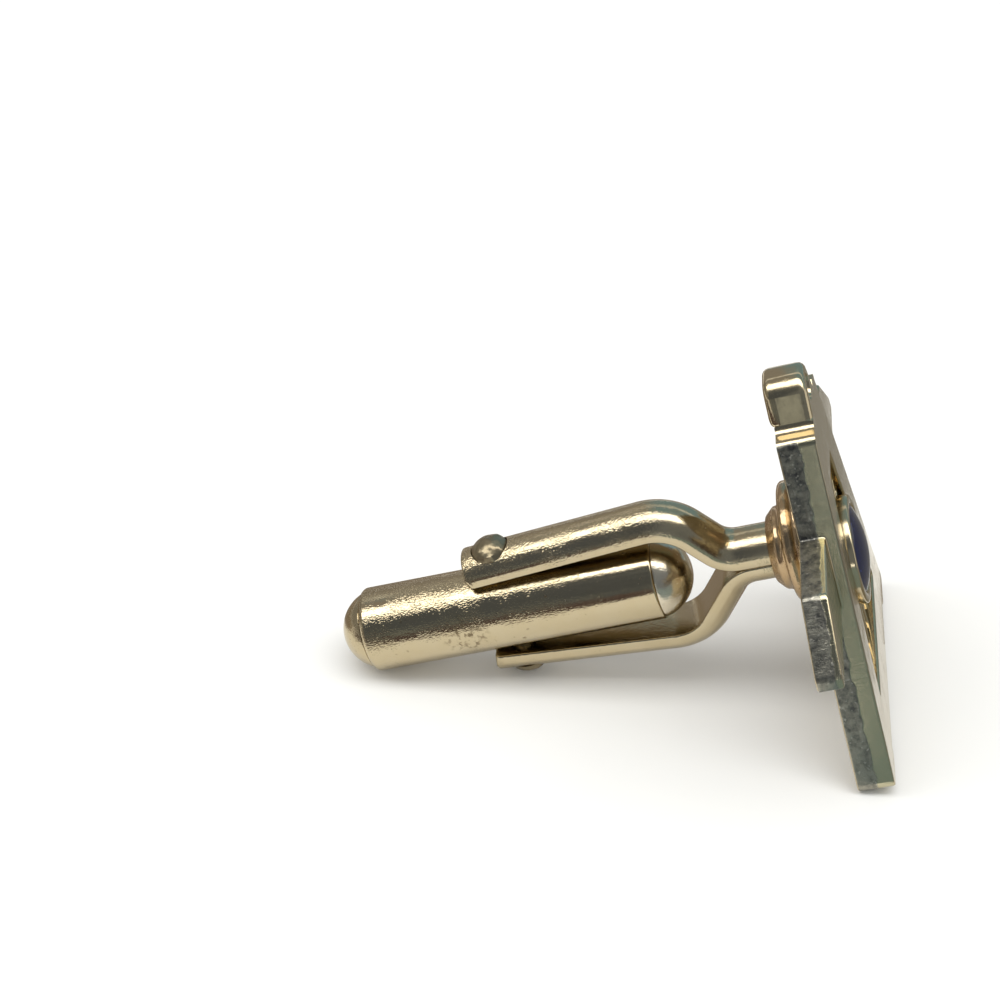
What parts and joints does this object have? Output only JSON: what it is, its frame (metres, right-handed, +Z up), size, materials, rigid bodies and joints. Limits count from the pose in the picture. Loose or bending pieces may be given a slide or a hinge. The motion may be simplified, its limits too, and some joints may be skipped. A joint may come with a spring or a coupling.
{
  "type": "cufflink",
  "caption": "Gold-plated swivel-toggle cufflink: a tapered tablet head with a round enamel medallion on a forked post, and a domed tubular toggle that turns on a riveted pin.",
  "frame": {"origin": "middle of the footprint, on the table that the cufflink lies on", "axes": "+X from the toggle's outer end towards the head, +Y across, +Z up; the post rises towards the head at 17 degrees, as it lies"},
  "size_m": [0.0276, 0.0224, 0.0189],
  "materials": {
    "gold_plate": "polished, worn",
    "enamel": "glossy, opaque",
    "spring_steel": "plain"
  },
  "bodies": {
    "head": {"face_plate": "gold_plate", "medallion_cup": "gold_plate", "enamel_roundel": "enamel", "base_disc": "gold_plate", "ferrule": "gold_plate", "upper_arm": "gold_plate", "lower_arm": "gold_plate", "pivot_pin": "gold_plate"},
    "toggle": {"toggle_tube": "gold_plate", "outer_cap": "gold_plate", "inner_cap": "gold_plate", "leaf_spring": "spring_steel"}
  },
  "joints": [
    {"name": "toggle_swivel", "type": "hinge", "parent": "head", "child": "toggle", "pos_m": [-0.00532, 0, 0.00412], "axis": [-0.2915, 0, 0.9566], "continuous": true}
  ]
}
